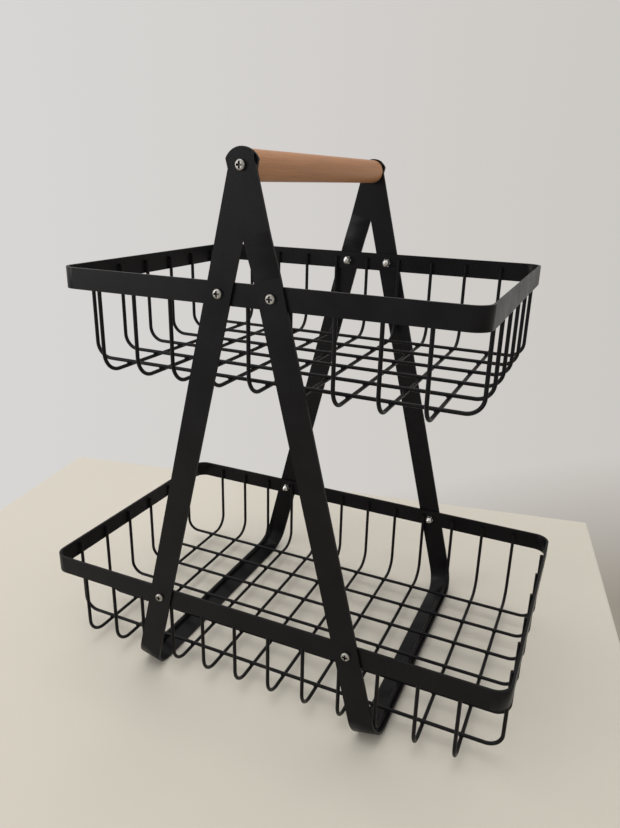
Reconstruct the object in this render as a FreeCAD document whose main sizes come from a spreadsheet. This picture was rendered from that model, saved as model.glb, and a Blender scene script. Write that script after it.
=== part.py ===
import FreeCAD, Part
import math
import os

import Sketcher

# Two wire baskets with flat-bar rims, one above the other, screwed between two bent flat straps.
# Each strap is a U: down the front, across the floor under the lower basket and up the back.
# The straps lean together and cross at the top, where a wooden dowel between them is the handle.
# X runs along the baskets, Y along the handle and Z up. The origin is on the floor, under the middle.

# Lengths in millimetres, the lean in degrees and the share as a part of the rim's height
sizes = {
    "handle_height": 420.7,
    "handle_diameter": 20.0,
    "handle_chamfer": 0.8,
    "running_gap": 0.15,
    "running_clearance": 0.08,
    "screw_clearance": 0.1,
    "thread_clearance": 0.05,
    "strap_width": 20.0,
    "strap_thickness": 2.0,
    "strap_lean_angle": 13.8,
    "strap_bend_margin": 1.0,
    "strap_end_reach": 11.0,
    "strap_end_margin": 3.0,
    "strap_set_margin": 1.5,
    "basket_width": 240.0,
    "rim_height": 16.0,
    "rim_thickness": 2.0,
    "rim_corner": 13.0,
    "upper_rim_length": 324.0,
    "upper_rim_drop": 81.9,
    "upper_wire_drop": 71.7,
    "upper_cross_margin": 34.5,
    "lower_rim_length": 406.0,
    "lower_wire_drop": 70.5,
    "lower_cross_margin": 33.6,
    "lower_wire_clearance": 0.3,
    "long_wire_margin": 32.0,
    "wire_diameter": 3.0,
    "cross_wire_bend": 16.0,
    "long_wire_bend": 12.5,
    "wire_end_share": 0.2,
    "screw_diameter": 4.0,
    "screw_tip_chamfer": 0.6,
    "screw_tip_gap": 1.0,
    "screw_head_diameter": 7.0,
    "screw_head_height": 2.4,
    "screw_head_round": 1.5,
    "screw_recess_length": 4.4,
    "screw_recess_width": 1.4,
    "screw_recess_depth": 1.7,
    "handle_screw_bite": 26.0,
    "nut_across_flats": 7.0,
    "nut_flats_height": 3.2,
    "nut_dome_diameter": 6.5,
    "nut_height": 8.0,
    "nut_bore_depth": 5.5,
    "overrun": 1.0,
}
upper_cross_wire_count = 9
lower_cross_wire_count = 12
long_wire_count = 6
cross_wire_counts = {"upper": upper_cross_wire_count, "lower": lower_cross_wire_count}

# Sizes that follow from those above. The lower basket's wires just clear the straps' raised outer edges.
lean = "Sizes.strap_lean_angle"
half_width = "Sizes.basket_width / 2"
half_strap = "Sizes.strap_width / 2"
wire_radius = "Sizes.wire_diameter / 2"
screw_radius = "Sizes.screw_diameter / 2"
rim_levels = {
    "upper": "(Sizes.handle_height - Sizes.upper_rim_drop)",
    "lower": f"(Sizes.strap_width * sin({lean}) + Sizes.strap_thickness * cos({lean})"
    f" + Sizes.lower_wire_clearance + {wire_radius} + Sizes.lower_wire_drop)",
}
hole_drops = {tier: f"(Sizes.handle_height - {level})" for tier, level in rim_levels.items()}
hole_sides = {tier: f"{drop} * tan({lean})" for tier, drop in hole_drops.items()}
strap_reach = f"(Sizes.handle_height - {half_strap} * sin({lean})) / cos({lean})"
strap_bend = f"Sizes.cross_wire_bend + {wire_radius} + Sizes.strap_bend_margin"
strap_end_radius = f"({half_strap} + Sizes.strap_end_margin)"
straps_part = f"{half_strap} / tan({lean})"
strap_meets_rim = f"({hole_drops['upper']} - Sizes.rim_height / 2 - {half_strap} * sin({lean})) / cos({lean})"
screw_hole = f"{screw_radius} + Sizes.screw_clearance"
screw_grip = "Sizes.strap_thickness + Sizes.rim_thickness + Sizes.nut_bore_depth - Sizes.screw_tip_gap"
handle_screw_seat = f"{half_width} + 2 * Sizes.strap_thickness + Sizes.running_gap"
handle_screw_length = "2 * Sizes.strap_thickness + 2 * Sizes.running_gap + Sizes.handle_screw_bite"

doc = FreeCAD.newDocument("tiered_basket")
sheet = doc.addObject("Spreadsheet::Sheet", "Sizes")
for row, (name, value) in enumerate(sizes.items(), start=1):
    sheet.set(f"A{row}", name)
    sheet.set(f"B{row}", str(value))
    sheet.setAlias(f"B{row}", name)
doc.recompute()

x_axis = FreeCAD.Vector(1, 0, 0)
y_axis = FreeCAD.Vector(0, 1, 0)
z_axis = FreeCAD.Vector(0, 0, 1)
start, end, centre = range(1, 4)  # a sketch numbers the points of a line or an arc so
across_axis, up_axis = range(-1, -3, -1)  # and its own two axes so
root = across_axis  # whose start is its origin


def measure(formula):
    return float(sheet.evalExpression(formula))


def new_body(label):
    body = doc.addObject("PartDesign::Body", label)
    body.Label = label
    return body


def new_sketch(body, name, role, lift="0"):
    sketch = body.newObject("Sketcher::SketchObject", name)
    plane = next(item for item in body.Origin.OriginFeatures if item.Role == role)
    sketch.AttachmentSupport = [(plane, "")]
    sketch.MapMode = "FlatFace"
    if lift != "0":
        sketch.setExpression("AttachmentOffset.Base.z", lift)
    return sketch


def bind(sketch, kind, places, formula):
    name = f"size_{sketch.ConstraintCount}"
    index = sketch.addConstraint(Sketcher.Constraint(kind, *places, measure(formula)))
    sketch.renameConstraint(index, name)
    sketch.setExpression(f"Constraints.{name}", formula)


def place_along(sketch, kind, axis, item, point, formula):
    # Holds one coordinate of a point at a formula, which may be negative or zero.
    value = measure(formula)
    if value > 0:
        bind(sketch, kind, (root, start, item, point), formula)
    elif value < 0:
        bind(sketch, kind, (item, point, root, start), f"-({formula})")
    else:
        sketch.addConstraint(Sketcher.Constraint("PointOnObject", item, point, axis))


def place_x(sketch, item, point, formula):
    place_along(sketch, "DistanceX", up_axis, item, point, formula)


def place_y(sketch, item, point, formula):
    place_along(sketch, "DistanceY", across_axis, item, point, formula)


def add_outline(sketch, corners):
    # A closed outline of straight sides through the corners, each a pair of formulas.
    points = [FreeCAD.Vector(measure(x), measure(y), 0) for x, y in corners]
    lines = []
    for point, following in zip(points, points[1:] + points[:1]):
        lines.append(sketch.addGeometry(Part.LineSegment(point, following)))
    for line, following in zip(lines, lines[1:] + lines[:1]):
        sketch.addConstraint(Sketcher.Constraint("Coincident", line, end, following, start))
    for line, (x, y) in zip(lines, corners):
        place_x(sketch, line, start, x)
        place_y(sketch, line, start, y)


def add_circle(sketch, x, y, radius):
    middle = FreeCAD.Vector(measure(x), measure(y), 0)
    circle = sketch.addGeometry(Part.Circle(middle, z_axis, measure(radius)))
    place_x(sketch, circle, centre, x)
    place_y(sketch, circle, centre, y)
    bind(sketch, "Radius", (circle,), radius)


def bend_arc(before, corner, after, radius):
    # The arc that rounds a corner of a path, with its two tangent points.
    towards_before = (before - corner).normalize()
    towards_after = (after - corner).normalize()
    half_turn = towards_before.getAngle(towards_after) / 2
    first = corner + towards_before * (radius / math.tan(half_turn))
    last = corner + towards_after * (radius / math.tan(half_turn))
    inward = (towards_before + towards_after).normalize()
    middle = corner + inward * (radius / math.sin(half_turn) - radius)
    return first, last, Part.Arc(first, middle, last)


def join_tangent(sketch, item, following):
    # Joins two items of a path at their nearest ends, so that one runs smoothly into the other.
    pairs = [(one, other) for one in (start, end) for other in (start, end)]

    def gap(pair):
        return sketch.getPoint(item, pair[0]).distanceToPoint(sketch.getPoint(following, pair[1]))

    one, other = min(pairs, key=gap)
    sketch.addConstraint(Sketcher.Constraint("Tangent", item, one, following, other))


def add_bent_path(sketch, corners, radius, closed=False):
    # A path of upright and level runs through the corners, each corner bent to the same radius.
    points = [FreeCAD.Vector(measure(x), measure(y), 0) for x, y in corners]
    count = len(points)
    bends = {}
    for index in range(count):
        if closed or 0 < index < count - 1:
            following = points[(index + 1) % count]
            bends[index] = bend_arc(points[index - 1], points[index], following, measure(radius))
    items = []
    for index in range(count if closed else count - 1):
        following = (index + 1) % count
        first = bends[index][1] if index in bends else points[index]
        last = bends[following][0] if following in bends else points[following]
        run = sketch.addGeometry(Part.LineSegment(first, last))
        items.append(run)
        upright = abs(first.x - last.x) < abs(first.y - last.y)
        sketch.addConstraint(Sketcher.Constraint("Vertical" if upright else "Horizontal", run))
        if upright:
            place_x(sketch, run, start, corners[index][0])
        else:
            place_y(sketch, run, start, corners[index][1])
        if following in bends:
            arc = sketch.addGeometry(bends[following][2])
            items.append(arc)
            bind(sketch, "Radius", (arc,), radius)
    for item, following in zip(items, items[1:]):
        join_tangent(sketch, item, following)
    if closed:
        join_tangent(sketch, items[-1], items[0])
    else:
        place_y(sketch, items[0], start, corners[0][1])
        place_y(sketch, items[-1], end, corners[-1][1])
    return items


def sweep(body, profile, path):
    pipe = body.newObject("PartDesign::AdditivePipe", f"{body.Name}_sweep")
    pipe.Profile = profile
    pipe.Spine = (path, [f"Edge{index + 1}" for index in range(path.GeometryCount)])
    return pipe


def cut_through(body, sketch):
    pocket = body.newObject("PartDesign::Pocket", f"{sketch.Name}_cut")
    pocket.Profile = sketch
    pocket.Type = "ThroughAll"
    pocket.SideType = "Symmetric"
    return pocket


def make_strap(label, turn):
    # The strap's own frame has its origin on the handle's axis and Z up along the legs.
    # Its leg at -Y is set out by one thickness above the upper rim, to pass over the other strap.
    body = new_body(label)
    leg = f"{half_width} + Sizes.strap_thickness / 2"
    set_out_leg = f"{leg} + Sizes.strap_thickness"
    floor = f"-({strap_reach} - Sizes.strap_thickness / 2)"
    set_start = f"-({straps_part} + Sizes.strap_set_margin)"
    set_end = f"-({strap_meets_rim} - Sizes.strap_set_margin)"
    bend = f"{strap_bend} + Sizes.strap_thickness / 2"

    path = new_sketch(body, f"{label}_path", "YZ_Plane")
    corners = [
        (f"-({leg})", set_end),
        (f"-({leg})", floor),
        (leg, floor),
        (leg, "Sizes.strap_end_reach"),
    ]
    low_run = add_bent_path(path, corners, bend)[0]
    high = FreeCAD.Vector(-measure(set_out_leg), measure(set_start), 0)
    low = FreeCAD.Vector(-measure(leg), measure(set_end), 0)
    halfway = (high + low) / 2
    # Two equal arcs, one each way, make the set
    chord = (high - low).Length
    set_radius = chord**2 / (4 * measure("Sizes.strap_thickness"))
    bulge = set_radius - math.sqrt(set_radius**2 - (chord / 4) ** 2)
    aside = FreeCAD.Vector(high.y - low.y, low.x - high.x, 0).normalize() * bulge
    upper_arc = path.addGeometry(Part.Arc(high, (high + halfway) / 2 - aside, halfway))
    lower_arc = path.addGeometry(Part.Arc(halfway, (halfway + low) / 2 + aside, low))
    top = FreeCAD.Vector(high.x, measure("Sizes.strap_end_reach"), 0)
    high_run = path.addGeometry(Part.LineSegment(top, high))
    path.addConstraint(Sketcher.Constraint("Vertical", high_run))
    path.addConstraint(Sketcher.Constraint("Equal", upper_arc, lower_arc))
    place_x(path, high_run, start, f"-({set_out_leg})")
    place_y(path, high_run, start, "Sizes.strap_end_reach")
    place_y(path, high_run, end, set_start)
    for item, following in ((high_run, upper_arc), (upper_arc, lower_arc), (lower_arc, low_run)):
        join_tangent(path, item, following)

    section = new_sketch(body, f"{label}_section", "XY_Plane", "Sizes.strap_end_reach")
    inner = f"-({set_out_leg} - Sizes.strap_thickness / 2)"
    outer = f"-({set_out_leg} + Sizes.strap_thickness / 2)"
    corners = [(f"-{half_strap}", outer), (half_strap, outer), (half_strap, inner), (f"-{half_strap}", inner)]
    add_outline(section, corners)
    sweep(body, section, path)
    doc.recompute()

    # Each leg's end is rounded to an arc somewhat flatter than a half circle
    ends = new_sketch(body, f"{label}_ends", "XZ_Plane")
    arc_level = f"Sizes.strap_end_reach - {strap_end_radius}"
    top_level = "Sizes.strap_end_reach + Sizes.overrun"
    radius = measure(strap_end_radius)
    level = measure(arc_level)
    above = measure(top_level)
    left = FreeCAD.Vector(-radius, level, 0)
    right = FreeCAD.Vector(radius, level, 0)
    arc = ends.addGeometry(Part.Arc(right, FreeCAD.Vector(0, level + radius, 0), left))
    corners = [left, FreeCAD.Vector(-radius, above, 0), FreeCAD.Vector(radius, above, 0), right]
    sides = [ends.addGeometry(Part.LineSegment(a, b)) for a, b in zip(corners, corners[1:])]
    ends.addConstraint(Sketcher.Constraint("Coincident", arc, end, sides[0], start))
    ends.addConstraint(Sketcher.Constraint("Coincident", sides[0], end, sides[1], start))
    ends.addConstraint(Sketcher.Constraint("Coincident", sides[1], end, sides[2], start))
    ends.addConstraint(Sketcher.Constraint("Coincident", sides[2], end, arc, start))
    ends.addConstraint(Sketcher.Constraint("Vertical", sides[0]))
    ends.addConstraint(Sketcher.Constraint("Vertical", sides[2]))
    bind(ends, "Radius", (arc,), strap_end_radius)
    place_x(ends, arc, centre, "0")
    for point in (centre, start, end):
        place_y(ends, arc, point, arc_level)
    place_y(ends, sides[0], end, top_level)
    place_y(ends, sides[2], start, top_level)
    cut_through(body, ends)

    holes = new_sketch(body, f"{label}_holes", "XZ_Plane")
    add_circle(holes, "0", "0", f"{screw_radius} + Sizes.running_clearance")
    for drop in hole_drops.values():
        add_circle(holes, "0", f"-({drop} / cos({lean}))", screw_hole)
    cut_through(body, holes)

    leaning = FreeCAD.Rotation(y_axis, -measure(lean))
    body.Placement.Rotation = FreeCAD.Rotation(z_axis, turn) * leaning
    body.setExpression("Placement.Base.z", "Sizes.handle_height")
    return body


def make_rim(tier):
    label = f"{tier}_rim"
    body = new_body(label)
    outline = new_sketch(body, f"{label}_outline", "XY_Plane")
    for inset, radius in (
        ("0", "Sizes.rim_corner"),
        ("Sizes.rim_thickness", "Sizes.rim_corner - Sizes.rim_thickness"),
    ):
        long_side = f"Sizes.{tier}_rim_length / 2 - {inset}"
        short_side = f"{half_width} - {inset}"
        corners = [
            (f"-({long_side})", f"-({short_side})"),
            (long_side, f"-({short_side})"),
            (long_side, short_side),
            (f"-({long_side})", short_side),
        ]
        add_bent_path(outline, corners, radius, closed=True)
    band = body.newObject("PartDesign::Pad", f"{label}_band")
    band.Profile = outline
    band.SideType = "Symmetric"
    band.setExpression("Length", "Sizes.rim_height")
    doc.recompute()

    holes = new_sketch(body, f"{label}_holes", "XZ_Plane")
    for place in (hole_sides[tier], f"-({hole_sides[tier]})"):
        add_circle(holes, place, "0", screw_hole)
    cut_through(body, holes)
    body.setExpression("Placement.Base.z", rim_levels[tier])
    return body


def make_wire(label, half_span, floor, bend):
    # A wire bent to a U, in a frame level with the rim's middle. Its ends stand a little above that.
    body = new_body(label)
    top = "Sizes.rim_height * Sizes.wire_end_share"
    path = new_sketch(body, f"{label}_path", "XZ_Plane")
    corners = [(f"-({half_span})", top), (f"-({half_span})", floor), (half_span, floor), (half_span, top)]
    add_bent_path(path, corners, bend)
    section = new_sketch(body, f"{label}_section", "XY_Plane", top)
    add_circle(section, f"-({half_span})", "0", wire_radius)
    sweep(body, section, path)
    return body


def spread(index, count, span):
    # The place of one of a row of wires spread evenly over a span about the middle.
    return f"({span}) * {index / (count - 1) - 1 / 2}"


def make_wires(tier):
    # The cross wires carry the long ones, and both stand against the inside of the rim.
    inset = f"(Sizes.rim_thickness + {wire_radius})"
    cross_count = cross_wire_counts[tier]
    cross_wires = []
    for index in range(cross_count):
        wire = make_wire(
            f"{tier}_cross_wire_{index + 1}",
            f"{half_width} - {inset}",
            f"-Sizes.{tier}_wire_drop",
            "Sizes.cross_wire_bend",
        )
        wire.Placement.Rotation = FreeCAD.Rotation(z_axis, 90)
        span = f"Sizes.{tier}_rim_length - 2 * Sizes.{tier}_cross_margin"
        wire.setExpression("Placement.Base.x", spread(index, cross_count, span))
        cross_wires.append(wire)
    long_wires = []
    for index in range(long_wire_count):
        wire = make_wire(
            f"{tier}_long_wire_{index + 1}",
            f"Sizes.{tier}_rim_length / 2 - {inset}",
            f"Sizes.wire_diameter - Sizes.{tier}_wire_drop",
            "Sizes.long_wire_bend",
        )
        span = "Sizes.basket_width - 2 * Sizes.long_wire_margin"
        wire.setExpression("Placement.Base.y", spread(index, long_wire_count, span))
        long_wires.append(wire)
    for wire in cross_wires + long_wires:
        wire.setExpression("Placement.Base.z", rim_levels[tier])
    return cross_wires + long_wires


def revolve(body, corners):
    section = new_sketch(body, f"{body.Name}_section", "XZ_Plane")
    add_outline(section, corners)
    turned = body.newObject("PartDesign::Revolution", f"{body.Name}_turned")
    turned.Profile = section
    turned.ReferenceAxis = (section, ["V_Axis"])
    turned.Angle = 360
    doc.recompute()
    return turned


def make_handle():
    # A dowel with a pilot hole in each end for its screw.
    body = new_body("handle")
    half = f"{half_width} - Sizes.running_gap"
    pilot = f"{screw_radius} + Sizes.thread_clearance"
    bottom = f"{half} - Sizes.handle_screw_bite - Sizes.screw_tip_gap"
    radius = "Sizes.handle_diameter / 2"
    chamfer = "Sizes.handle_chamfer"
    upper_half = [
        (radius, f"{half} - {chamfer}"),
        (f"{radius} - {chamfer}", half),
        (pilot, half),
        (pilot, bottom),
        ("0", bottom),
    ]
    lower_half = [(x, f"-({y})") for x, y in reversed(upper_half)]
    revolve(body, upper_half + lower_half)
    body.Placement.Rotation = FreeCAD.Rotation(x_axis, 90)
    body.setExpression("Placement.Base.z", "Sizes.handle_height")
    return body


def make_screw(label, length):
    # A pan-head screw: its head is below the origin of its own frame and its shank above.
    body = new_body(label)
    head = "Sizes.screw_head_diameter / 2"
    crown = "-Sizes.screw_head_height"
    chamfer = "Sizes.screw_tip_chamfer"
    corners = [
        ("0", crown),
        (head, crown),
        (head, "0"),
        (screw_radius, "0"),
        (screw_radius, f"{length} - {chamfer}"),
        (f"{screw_radius} - {chamfer}", length),
        ("0", length),
    ]
    turned = revolve(body, corners)
    crown_edges = [
        f"Edge{index}"
        for index, edge in enumerate(turned.Shape.Edges, start=1)
        if isinstance(edge.Curve, Part.Circle) and edge.Curve.Center.z < measure(crown) / 2
    ]
    rounded = body.newObject("PartDesign::Fillet", f"{label}_crown")
    rounded.Base = (turned, crown_edges)
    rounded.setExpression("Radius", "Sizes.screw_head_round")
    doc.recompute()
    # Two slots make the cross recess
    long_side = "Sizes.screw_recess_length / 2"
    short_side = "Sizes.screw_recess_width / 2"
    for name, x, y in (("first", long_side, short_side), ("second", short_side, long_side)):
        slot = new_sketch(body, f"{label}_{name}_slot", "XY_Plane", crown)
        add_outline(slot, [(f"-{x}", f"-{y}"), (x, f"-{y}"), (x, y), (f"-{x}", y)])
        recess = body.newObject("PartDesign::Pocket", f"{label}_{name}_recess")
        recess.Profile = slot
        recess.Reversed = True
        recess.setExpression("Length", "Sizes.screw_recess_depth")
        doc.recompute()
    return body


def make_cap_nut(label):
    # A hexagon with a round dome over a blind bore. It stands on the origin of its own frame.
    flats = doc.addObject("Part::Prism", f"{label}_flats")
    flats.Polygon = 6
    flats.setExpression("Circumradius", "Sizes.nut_across_flats / 2 / cos(30)")
    flats.setExpression("Height", "Sizes.nut_flats_height")
    collar = doc.addObject("Part::Cylinder", f"{label}_collar")
    collar.setExpression("Radius", "Sizes.nut_dome_diameter / 2")
    collar.setExpression("Height", "Sizes.nut_height - Sizes.nut_dome_diameter / 2")
    dome = doc.addObject("Part::Sphere", f"{label}_dome")
    dome.setExpression("Radius", "Sizes.nut_dome_diameter / 2")
    dome.setExpression("Placement.Base.z", "Sizes.nut_height - Sizes.nut_dome_diameter / 2")
    solid = doc.addObject("Part::MultiFuse", f"{label}_solid")
    solid.Shapes = [flats, collar, dome]
    bore = doc.addObject("Part::Cylinder", f"{label}_bore")
    bore.setExpression("Radius", f"{screw_radius} + Sizes.thread_clearance")
    bore.setExpression("Height", "Sizes.nut_bore_depth")
    nut = doc.addObject("Part::Cut", label)
    nut.Base = solid
    nut.Tool = bore
    return nut


def face_back(piece, x, y, z):
    # Turns a fastener's own Z to +Y, into the basket from the front, and sets it in place.
    piece.Placement.Rotation = FreeCAD.Rotation(x_axis, -90)
    for axis, formula in (("x", x), ("y", y), ("z", z)):
        piece.setExpression(f"Placement.Base.{axis}", formula)


def mirrored(piece, normal):
    copy = doc.addObject("Part::Mirroring", f"{piece.Name}_mirrored")
    copy.Source = piece
    copy.Normal = normal
    return copy


def make_set(label, pieces):
    group = doc.addObject("Part::Compound", label)
    group.Label = label
    group.Links = pieces
    return group


def make_rim_fasteners(tier):
    # One screw and nut at each place where a strap crosses the rim.
    side = hole_sides[tier]
    level = rim_levels[tier]
    screw = make_screw(f"{tier}_screw", screw_grip)
    face_back(screw, side, f"-({half_width} + Sizes.strap_thickness)", level)
    nut = make_cap_nut(f"{tier}_nut")
    face_back(nut, side, f"Sizes.rim_thickness - {half_width}", level)
    sets = []
    for label, piece in ((f"{tier}_rim_screws", screw), (f"{tier}_cap_nuts", nut)):
        front = [piece, mirrored(piece, x_axis)]
        back = [mirrored(item, y_axis) for item in front]
        sets.append(make_set(label, front + back))
    return sets


def make_handle_screws():
    screw = make_screw("handle_screw", handle_screw_length)
    face_back(screw, "0", f"-({handle_screw_seat})", "Sizes.handle_height")
    return make_set("handle_screws", [screw, mirrored(screw, y_axis)])


pieces = [make_strap("right_strap", 0), make_strap("left_strap", 180), make_handle(), make_handle_screws()]
for tier in cross_wire_counts:
    pieces.append(make_rim(tier))
    pieces.extend(make_wires(tier))
    pieces.extend(make_rim_fasteners(tier))
doc.recompute()

faults = [item.Label for item in doc.Objects if {"Invalid", "Error"} & set(item.State)]
faults += [piece.Label for piece in pieces if piece.Shape.isNull() or not piece.Shape.isValid()]
if faults:
    raise RuntimeError("these did not build: " + ", ".join(faults))

os.makedirs("parts", exist_ok=True)
for piece in pieces:
    piece.Shape.exportStep(f"parts/{piece.Label}.step")
    box = piece.Shape.BoundBox
    print(f"{piece.Label}: {len(piece.Shape.Solids)} solid, {piece.Shape.Volume:.1f} mm3, top {box.ZMax:.2f}")
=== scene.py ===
import math

import bmesh
import bpy
from mathutils import Matrix, Vector


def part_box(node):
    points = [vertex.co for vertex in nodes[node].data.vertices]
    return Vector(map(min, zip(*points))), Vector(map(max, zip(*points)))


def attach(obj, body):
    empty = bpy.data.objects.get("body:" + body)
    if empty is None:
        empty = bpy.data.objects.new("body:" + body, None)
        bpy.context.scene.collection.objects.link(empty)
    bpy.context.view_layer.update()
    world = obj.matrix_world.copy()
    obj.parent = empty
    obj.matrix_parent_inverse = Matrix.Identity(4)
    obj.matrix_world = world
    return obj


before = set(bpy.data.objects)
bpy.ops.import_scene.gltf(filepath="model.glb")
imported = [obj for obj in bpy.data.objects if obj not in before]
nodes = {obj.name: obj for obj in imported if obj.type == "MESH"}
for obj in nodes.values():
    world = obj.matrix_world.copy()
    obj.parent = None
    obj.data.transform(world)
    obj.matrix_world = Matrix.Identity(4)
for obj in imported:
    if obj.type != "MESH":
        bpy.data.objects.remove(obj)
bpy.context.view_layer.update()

barNames = ["right_strap", "left_strap", "upper_rim", "lower_rim"]
wireNames = sorted(name for name in nodes if "_wire_" in name)
screwNames = ["handle_screws", "upper_rim_screws", "lower_rim_screws"]
nutNames = ["upper_cap_nuts", "lower_cap_nuts"]
noiseSpan = (0.3, 0.7)  # where most of a noise's values lie


# helpers that add nodes to a material or the world

def newFinish(name):
    finish = bpy.data.materials.new(name)
    finish.use_nodes = True
    tree = finish.node_tree
    return finish, tree, tree.nodes["Principled BSDF"]


def addNode(tree, kind, **settings):
    node = tree.nodes.new(kind)
    for name, value in settings.items():
        setattr(node, name, value)
    return node


def objectPlace(tree, stretch=(1, 1, 1)):
    # the piece's own metres, stretched so that one unit of the texture fits the grain
    place = addNode(tree, "ShaderNodeTexCoord")
    mapping = addNode(tree, "ShaderNodeMapping")
    mapping.inputs["Scale"].default_value = stretch
    tree.links.new(place.outputs["Object"], mapping.inputs["Vector"])
    return mapping.outputs["Vector"]


def addNoise(tree, place, scale=1.0, detail=2.0, roughness=0.5):
    noise = addNode(tree, "ShaderNodeTexNoise")
    noise.inputs["Scale"].default_value = scale
    noise.inputs["Detail"].default_value = detail
    noise.inputs["Roughness"].default_value = roughness
    tree.links.new(place, noise.inputs["Vector"])
    return noise.outputs["Fac"]


def addRamp(tree, source, stops):
    ramp = addNode(tree, "ShaderNodeValToRGB")
    elements = ramp.color_ramp.elements
    for element, (at, colour) in zip(elements, (stops[0], stops[-1])):
        element.position, element.color = at, (*colour, 1)
    for at, colour in stops[1:-1]:
        elements.new(at).color = (*colour, 1)
    tree.links.new(source, ramp.inputs["Fac"])
    return ramp.outputs["Color"]


def addRange(tree, source, goal, span=noiseSpan):
    spread = addNode(tree, "ShaderNodeMapRange")
    for socket, value in zip(("From Min", "From Max", "To Min", "To Max"), (*span, *goal)):
        spread.inputs[socket].default_value = value
    tree.links.new(source, spread.inputs["Value"])
    return spread.outputs["Result"]


def addBump(tree, height, spec, under=None):
    strength, distance = spec
    bump = addNode(tree, "ShaderNodeBump")
    bump.inputs["Strength"].default_value = strength
    bump.inputs["Distance"].default_value = distance
    tree.links.new(height, bump.inputs["Height"])
    if under is not None:
        tree.links.new(under, bump.inputs["Normal"])
    return bump.outputs["Normal"]


def addMix(tree, share, first, second, blend="MIX"):
    mix = addNode(tree, "ShaderNodeMix", data_type="RGBA", blend_type=blend)
    for key, value in (("Factor_Float", share), ("A_Color", first), ("B_Color", second)):
        socket = next(item for item in mix.inputs if item.identifier == key)
        if isinstance(value, bpy.types.NodeSocket):
            tree.links.new(value, socket)
        else:
            socket.default_value = value if isinstance(value, float) else (*value, 1)
    return next(item for item in mix.outputs if item.identifier == "Result_Color")


# black powder coat on bars, wires and welds

powderCoat = {
    "deep": (0.0034, 0.0030, 0.0036),
    "worn": (0.0062, 0.0056, 0.0064),
    "wornFrom": (0.3, 0.75),
    "specular": 0.14,
    "cloud": 38.0,
    "peel": 900.0,  # ripples about a millimetre apart
    "peelBump": (0.2, 0.0004),
    "grain": 3400.0,
    "grainBump": (0.14, 0.0001),
    "rough": (0.32, 0.44),
}


def makePowderCoat(spec):
    finish, tree, shader = newFinish("blackPowderCoat")
    place = objectPlace(tree)
    cloud = addNoise(tree, place, spec["cloud"], detail=3.0)
    peel = addNoise(tree, place, spec["peel"], detail=1.0)
    grain = addNoise(tree, place, spec["grain"])
    tone = addRamp(tree, cloud, list(zip(spec["wornFrom"], (spec["deep"], spec["worn"]))))
    coarse = addBump(tree, peel, spec["peelBump"])
    fine = addBump(tree, grain, spec["grainBump"], under=coarse)
    tree.links.new(tone, shader.inputs["Base Color"])
    tree.links.new(addRange(tree, cloud, spec["rough"]), shader.inputs["Roughness"])
    tree.links.new(fine, shader.inputs["Normal"])
    shader.inputs["Specular IOR Level"].default_value = spec["specular"]
    return finish


coatFinish = makePowderCoat(powderCoat)
for name in barNames + wireNames:
    nodes[name].data.materials[0] = coatFinish
print("powder coat on", len(barNames) + len(wireNames), "bars and wires")


# the oiled beech dowel, its grain along Y

beechDowel = {
    "pale": (0.425, 0.205, 0.094),
    "mid": (0.375, 0.172, 0.073),
    "dark": (0.315, 0.137, 0.054),
    "bandSteps": (0.28, 0.5, 0.72),
    "bands": (110, 5, 110),
    "fibres": (1500, 28, 1500),
    "fibreShade": (0.84, 1.14),
    "fibreBump": (0.2, 0.00012),
    "rays": (1100, 240, 1100),
    "raySpan": (0.63, 0.72),
    "fleck": (0.210, 0.084, 0.031),
    "fleckShare": 0.42,
    "rough": (0.44, 0.6),
    "specular": 0.4,
}


def makeBeech(spec):
    finish, tree, shader = newFinish("oiledBeech")
    bands = addNoise(tree, objectPlace(tree, spec["bands"]), detail=4.0, roughness=0.55)
    fibres = addNoise(tree, objectPlace(tree, spec["fibres"]))
    rays = addNoise(tree, objectPlace(tree, spec["rays"]), detail=1.0)
    tones = (spec["dark"], spec["mid"], spec["pale"])
    ground = addRamp(tree, bands, list(zip(spec["bandSteps"], tones)))
    shade = addRange(tree, fibres, spec["fibreShade"])
    fibred = addMix(tree, 1.0, ground, shade, blend="MULTIPLY")
    fleckMask = addRange(tree, rays, (0.0, spec["fleckShare"]), spec["raySpan"])
    flecked = addMix(tree, fleckMask, fibred, spec["fleck"])
    tree.links.new(flecked, shader.inputs["Base Color"])
    tree.links.new(addRange(tree, fibres, spec["rough"]), shader.inputs["Roughness"])
    tree.links.new(addBump(tree, fibres, spec["fibreBump"]), shader.inputs["Normal"])
    shader.inputs["Specular IOR Level"].default_value = spec["specular"]
    return finish


nodes["handle"].data.materials[0] = makeBeech(beechDowel)
print("beech on the handle")


# zinc on the screws and nickel on the cap nuts, with painted shade darkening their recesses

zincPlate = {
    "light": (0.47, 0.455, 0.43),
    "dull": (0.30, 0.287, 0.262),
    "rough": (0.46, 0.34),
    "cloud": 420.0,
    "hollow": 0.0026,
}
nickelPlate = {
    "light": (0.76, 0.75, 0.73),
    "dull": (0.60, 0.59, 0.57),
    "rough": (0.26, 0.12),
    "cloud": 260.0,
    "hollow": 0.0012,
}
# random dull patches and scratches, and the painted shade in recesses
plateWearAndShade = {
    "dullFrom": (0.32, 0.66),
    "openShade": (0.02, 1.0),  # painted shade, from the bottom of a recess to an open face
    "openSpan": (0.35, 0.95),
    "scratches": (4200, 300, 4200),
    "scratchBump": (0.12, 0.00005),
}


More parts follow.
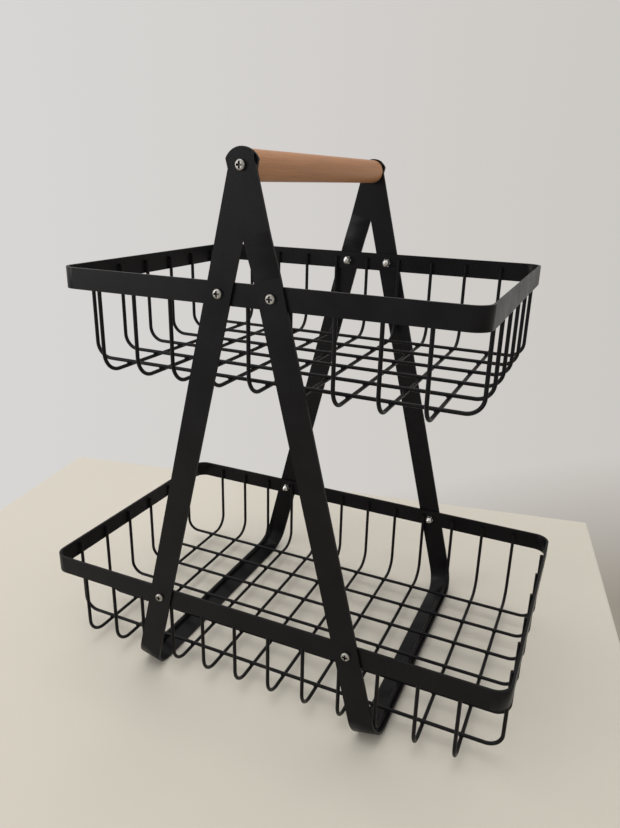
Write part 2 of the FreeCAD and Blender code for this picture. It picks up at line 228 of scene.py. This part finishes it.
def makePlating(name, spec, wearAndShade):
    finish, tree, shader = newFinish(name)
    cloud = addNoise(tree, objectPlace(tree), spec["cloud"], detail=4.0, roughness=0.6)
    scratch = addNoise(tree, objectPlace(tree, wearAndShade["scratches"]), detail=1.0)
    tone = addRamp(tree, cloud, list(zip(wearAndShade["dullFrom"], (spec["dull"], spec["light"]))))
    # painted shade: the colour is darkened where ambient occlusion finds a recess or a near part
    hollow = addNode(tree, "ShaderNodeAmbientOcclusion", samples=8)
    hollow.inputs["Distance"].default_value = spec["hollow"]
    openness = addRange(tree, hollow.outputs["AO"], wearAndShade["openShade"], wearAndShade["openSpan"])
    recessShaded = addMix(tree, 1.0, tone, openness, blend="MULTIPLY")
    tree.links.new(recessShaded, shader.inputs["Base Color"])
    tree.links.new(addRange(tree, cloud, spec["rough"]), shader.inputs["Roughness"])
    tree.links.new(addBump(tree, scratch, wearAndShade["scratchBump"]), shader.inputs["Normal"])
    shader.inputs["Metallic"].default_value = 1.0
    return finish


zincFinish = makePlating("dullZinc", zincPlate, plateWearAndShade)
nickelFinish = makePlating("brightNickel", nickelPlate, plateWearAndShade)
for names, finish in ((screwNames, zincFinish), (nutNames, nickelFinish)):
    for name in names:
        nodes[name].data.materials[0] = finish
print("plating on screws and nuts")


# edges of the flat bars, rounded as sheared and coated bar is

barEdge = {
    "width": 0.00035,
    "segments": 2,
    "angle": math.radians(40),
    "join": 0.000002,  # points this near are one
    "flat": math.radians(0.2),  # faces this near to level are one
}


def softenEdges(piece, spec):
    points = piece.modifiers.new("joinPoints", "WELD")
    points.merge_threshold = spec["join"]
    flats = piece.modifiers.new("joinFlats", "DECIMATE")
    flats.decimate_type = "DISSOLVE"
    flats.angle_limit = spec["flat"]
    rounding = piece.modifiers.new("roundEdges", "BEVEL")
    rounding.width = spec["width"]
    rounding.segments = spec["segments"]
    rounding.limit_method = "ANGLE"
    rounding.angle_limit = spec["angle"]
    rounding.harden_normals = True


for name in barNames:
    softenEdges(nodes[name], barEdge)
print("edges rounded on", len(barNames), "bars")


# weld metal where wires cross and where their ends stand against the rim

basketWelds = {
    "cross": (0.0021, 0.0021, 0.0011),  # half sizes at a crossing
    "end": (0.0020, 0.0008, 0.0042),  # half sizes at a wire's end: along the rim, off the rim and up
    "wobble": 0.07,
    "lobes": 3,
    "drift": 1.7,  # how far the lobes turn from one weld to the next
    "rings": 6,
    "sides": 12,
}


def addLump(made, centre, half, turn, spec, count):
    # a rounded lump of weld metal, a little uneven from one to the next
    rings, sides = spec["rings"], spec["sides"]
    rows = []
    for ring in range(1, rings):
        lift = math.pi * ring / rings
        row = []
        for side in range(sides):
            angle = 2 * math.pi * side / sides
            lobe = math.sin(spec["lobes"] * angle + spec["drift"] * count)
            flat = math.sin(lift) * (1 + spec["wobble"] * lobe * math.sin(lift))
            x = flat * math.cos(angle) * half[0]
            y = flat * math.sin(angle) * half[1]
            z = math.cos(lift) * half[2]
            row.append(made.verts.new(centre + turn @ Vector((x, y, z))))
        rows.append(row)
    top = made.verts.new(centre + turn @ Vector((0, 0, half[2])))
    bottom = made.verts.new(centre - turn @ Vector((0, 0, half[2])))
    for side in range(sides):
        after = (side + 1) % sides
        made.faces.new((top, rows[0][side], rows[0][after]))
        made.faces.new((bottom, rows[-1][after], rows[-1][side]))
        for upper, lower in zip(rows, rows[1:]):
            made.faces.new((upper[side], lower[side], lower[after], upper[after]))


def makeWelds(tier, spec):
    rimLow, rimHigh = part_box(f"{tier}_rim")
    crossWires = [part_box(name) for name in wireNames if name.startswith(f"{tier}_cross")]
    longWires = [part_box(name) for name in wireNames if name.startswith(f"{tier}_long")]
    straight = Matrix.Identity(3)
    quarter = Matrix.Rotation(math.pi / 2, 3, "Z")
    thick = crossWires[0][1][0] - crossWires[0][0][0]
    contact = crossWires[0][0][2] + thick
    made = bmesh.new()
    count = 0
    for low, high in crossWires:
        x = (low[0] + high[0]) / 2
        for longLow, longHigh in longWires:
            crossing = Vector((x, (longLow[1] + longHigh[1]) / 2, contact))
            addLump(made, crossing, spec["cross"], straight, spec, count)
            count += 1
        middle = (rimLow[2] + high[2]) / 2
        for y in (low[1], high[1]):
            addLump(made, Vector((x, y, middle)), spec["end"], straight, spec, count)
            count += 1
    for low, high in longWires:
        y = (low[1] + high[1]) / 2
        middle = (rimLow[2] + high[2]) / 2
        for x in (low[0], high[0]):
            addLump(made, Vector((x, y, middle)), spec["end"], quarter, spec, count)
            count += 1
    mesh = bpy.data.meshes.new(f"{tier}BasketWelds")
    made.to_mesh(mesh)
    made.free()
    mesh.shade_smooth()
    mesh.materials.append(coatFinish)
    welds = bpy.data.objects.new(f"{tier}BasketWelds", mesh)
    bpy.context.scene.collection.objects.link(welds)
    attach(welds, "frame")
    return count


for tier in ("upper", "lower"):
    print(makeWelds(tier, basketWelds), "welds in the", tier, "basket")


# the pale table top that the stand is on

tableTop = {
    "corner": (-0.490, 0.217),  # its far left corner
    "turn": math.radians(10.3),
    "length": 0.7385,
    "depth": 1.15,
    "thick": 0.022,
    "edge": 0.0025,
    "edgeSegments": 3,
    "tone": (0.577, 0.544, 0.478),
    "patch": 0.02,
    "cloud": 3.0,
    "rough": (0.5, 0.6),
    "specular": 0.25,
}


def makeTable(spec):
    across = Vector((math.cos(spec["turn"]), math.sin(spec["turn"]), 0)) * spec["length"]
    nearer = Vector((math.sin(spec["turn"]), -math.cos(spec["turn"]), 0)) * spec["depth"]
    down = Vector((0, 0, -spec["thick"]))
    corner = Vector((*spec["corner"], 0))
    outline = [corner, corner + nearer, corner + nearer + across, corner + across]
    made = bmesh.new()
    top = [made.verts.new(point) for point in outline]
    under = [made.verts.new(point + down) for point in outline]
    made.faces.new(top)
    made.faces.new(under[::-1])
    for index in range(len(outline)):
        after = (index + 1) % len(outline)
        made.faces.new((top[index], under[index], under[after], top[after]))
    bmesh.ops.bevel(
        made,
        geom=made.edges[:],
        offset=spec["edge"],
        segments=spec["edgeSegments"],
        profile=0.5,
        affect="EDGES",
    )
    mesh = bpy.data.meshes.new("tableTop")
    made.to_mesh(mesh)
    made.free()
    finish, tree, shader = newFinish("paleLaminate")
    cloud = addNoise(tree, objectPlace(tree), spec["cloud"])
    pale = Vector(spec["tone"])
    tones = [tuple(pale * (1 - spec["patch"])), tuple(pale * (1 + spec["patch"]))]
    tone = addRamp(tree, cloud, list(zip(noiseSpan, tones)))
    tree.links.new(tone, shader.inputs["Base Color"])
    tree.links.new(addRange(tree, cloud, spec["rough"]), shader.inputs["Roughness"])
    shader.inputs["Specular IOR Level"].default_value = spec["specular"]
    mesh.materials.append(finish)
    table = bpy.data.objects.new("tableTop", mesh)
    bpy.context.scene.collection.objects.link(table)


# the wall's colour all round, painted shade on the floor below the table, and soft light from the
# room

studioRoom = {
    "wallLeft": (0.690, 0.675, 0.665),
    "wallRight": (0.605, 0.580, 0.548),
    "across": (0.913, 0.409, 0),  # the way from the paler wall to the darker
    "acrossSpan": (-0.42, 0.42),
    # painted shade: the colour seen below the table
    "floor": (0.314, 0.283, 0.239),
    "downward": (0.274, 0.123, -1),  # the way down below the table, more on the darker side, where the painted shade lies
    "downwardSpan": (0.47, 0.64),
    "ambient": 0.74,
    "ambientTint": (1.0, 0.985, 0.965),
}


def alongWay(tree, way, span):
    # how far each line of sight runs along a way, from 0 to 1 over the span
    place = addNode(tree, "ShaderNodeTexCoord")
    along = addNode(tree, "ShaderNodeVectorMath", operation="DOT_PRODUCT")
    along.inputs[1].default_value = way
    tree.links.new(place.outputs["Generated"], along.inputs[0])
    return addRange(tree, along.outputs["Value"], (0.0, 1.0), span)


def makeRoom(spec):
    world = bpy.data.worlds.new("studioRoom")
    bpy.context.scene.world = world
    world.use_nodes = True
    tree = world.node_tree
    tree.nodes.clear()
    share = alongWay(tree, spec["across"], spec["acrossSpan"])
    wall = addMix(tree, share, spec["wallLeft"], spec["wallRight"])
    # painted shade: lines of sight down below the table, and more so to the right, see a darker
    # colour
    lower = alongWay(tree, spec["downward"], spec["downwardSpan"])
    seen = addNode(tree, "ShaderNodeBackground")
    tree.links.new(addMix(tree, lower, wall, spec["floor"]), seen.inputs["Color"])
    ambient = addNode(tree, "ShaderNodeBackground")
    ambient.inputs["Color"].default_value = (*spec["ambientTint"], 1)
    ambient.inputs["Strength"].default_value = spec["ambient"]
    path = addNode(tree, "ShaderNodeLightPath")
    direct = path.outputs["Is Camera Ray"]
    for ray in ("Is Glossy Ray", "Is Transmission Ray"):
        either = addNode(tree, "ShaderNodeMath", operation="MAXIMUM")
        tree.links.new(direct, either.inputs[0])
        tree.links.new(path.outputs[ray], either.inputs[1])
        direct = either.outputs["Value"]
    mix = addNode(tree, "ShaderNodeMixShader")
    out = addNode(tree, "ShaderNodeOutputWorld")
    tree.links.new(direct, mix.inputs["Fac"])
    tree.links.new(ambient.outputs["Background"], mix.inputs[1])
    tree.links.new(seen.outputs["Background"], mix.inputs[2])
    tree.links.new(mix.outputs["Shader"], out.inputs["Surface"])


softLights = {
    "windowLight": {
        "at": (-1.7, -1.5, 0.75),
        "aim": (0, 0, 0.2),
        "size": 1.35,
        "power": 16.0,
        "colour": (1.0, 0.985, 0.965),
    },
    "ceilingLight": {
        "at": (-0.4, 0.1, 1.7),
        "aim": (-0.1, 0, 0.1),
        "size": 2.0,
        "power": 15.0,
        "colour": (1.0, 0.98, 0.95),
    },
}


def makeLights(spec):
    for name, light in spec.items():
        lamp = bpy.data.lights.new(name, "AREA")
        lamp.shape = "DISK"
        lamp.size = light["size"]
        lamp.energy = light["power"]
        lamp.color = light["colour"]
        holder = bpy.data.objects.new(name, lamp)
        bpy.context.scene.collection.objects.link(holder)
        at = Vector(light["at"])
        holder.location = at
        holder.rotation_euler = (Vector(light["aim"]) - at).to_track_quat("-Z", "Y").to_euler()


# the photograph's own camera, fitted to the object's corners in it

photoView = {
    "place": (0.22408, -0.51052, 0.41420),
    "azimuth": 24.12,
    "elevation": 19.39,
    "roll": 1.36,
    "lens": 29.206,
    "sensor": 36.0,
    "nearest": 0.01,
}


def makeCamera(spec):
    azimuth, elevation, roll = (math.radians(spec[key]) for key in ("azimuth", "elevation", "roll"))
    flat = math.cos(elevation)
    back = Vector((math.sin(azimuth) * flat, -math.cos(azimuth) * flat, math.sin(elevation)))
    right = Vector((math.cos(azimuth), math.sin(azimuth), 0))
    up = back.cross(right)
    tiltedRight = right * math.cos(roll) + up * math.sin(roll)
    tiltedUp = up * math.cos(roll) - right * math.sin(roll)
    camera = bpy.data.cameras.new("photoCamera")
    camera.sensor_width = spec["sensor"]
    camera.lens = spec["lens"]
    camera.clip_start = spec["nearest"]
    holder = bpy.data.objects.new("photoCamera", camera)
    bpy.context.scene.collection.objects.link(holder)
    turned = Matrix((tiltedRight, tiltedUp, back)).transposed().to_4x4()
    holder.matrix_world = Matrix.Translation(spec["place"]) @ turned
    bpy.context.scene.camera = holder


makeTable(tableTop)
makeRoom(studioRoom)
makeLights(softLights)
makeCamera(photoView)
bpy.context.scene.view_settings.view_transform = "Standard"
print("table, room, light and camera set")
